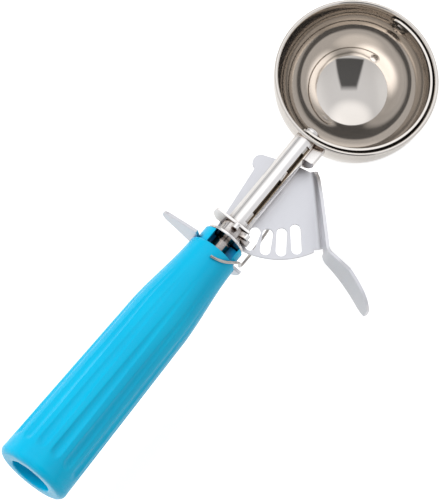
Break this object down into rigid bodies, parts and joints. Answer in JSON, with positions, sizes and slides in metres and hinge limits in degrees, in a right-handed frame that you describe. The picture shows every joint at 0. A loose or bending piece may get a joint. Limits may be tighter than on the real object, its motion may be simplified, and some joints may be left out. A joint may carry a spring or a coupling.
{
  "type": "ice cream scoop",
  "caption": "Hand-held lever scoop for ice cream: squeezing the thumb lever turns a curved blade that sweeps round the inside of a hemispherical bowl.",
  "frame": {"origin": "centre of the mouth of the round recess in the handle's butt", "axes": "+X runs along the spindle from the butt to the bowl, +Z is the way the bowl's mouth faces, and the thumb lever is on the -Y side"},
  "size_m": [0.2204, 0.0871, 0.0438],
  "materials": {
    "grip": "glossy, fluted",
    "bowl_metal": "mirror polished",
    "bright_metal": "bright plated",
    "blade_metal": "polished strip",
    "plain_steel": "plain",
    "lever_metal": "satin"
  },
  "bodies": {
    "handle": {"handle_grip": "grip", "guard_plate": "bright_metal", "core_tube": "plain_steel", "rear_cheek": "bright_metal", "front_cheek": "bright_metal", "tube_ferrule": "bright_metal", "shank_tube": "bright_metal", "rear_bush": "plain_steel", "front_bush": "plain_steel", "pivot_block": "plain_steel", "pivot_spacer": "bright_metal", "lever_rivet": "plain_steel", "rivet_washer": "plain_steel", "spring_spool": "plain_steel", "bowl_bush": "plain_steel", "bowl_saddle": "bright_metal", "bowl": "bowl_metal", "far_pivot_pin": "bright_metal", "thrust_washer": "plain_steel", "return_spring": "plain_steel"},
    "lever": {"lever": "lever_metal"},
    "scraper": {"spindle": "plain_steel", "pinion": "bright_metal", "drive_pin": "plain_steel", "scraper_blade": "blade_metal", "blade_hub": "blade_metal", "spindle_rivet_head": "blade_metal"}
  },
  "joints": [
    {"name": "lever_swing", "type": "hinge", "parent": "handle", "child": "lever", "pos_m": [0.14415, 0, -0.0064], "axis": [0, 0, -1], "range_deg": [0, 40], "stiffness_Nm_per_rad": 0.4, "springref_deg": -28.65, "deforming": ["return_spring"]},
    {"name": "scraper_turn", "type": "hinge", "parent": "handle", "child": "scraper", "pos_m": [0.19003, 0, 0], "axis": [1, 0, 0], "range_deg": [0, 171.5]}
  ],
  "couplings": [
    {"joint": "scraper_turn", "follows": "lever_swing", "ratio": 4.2857}
  ]
}
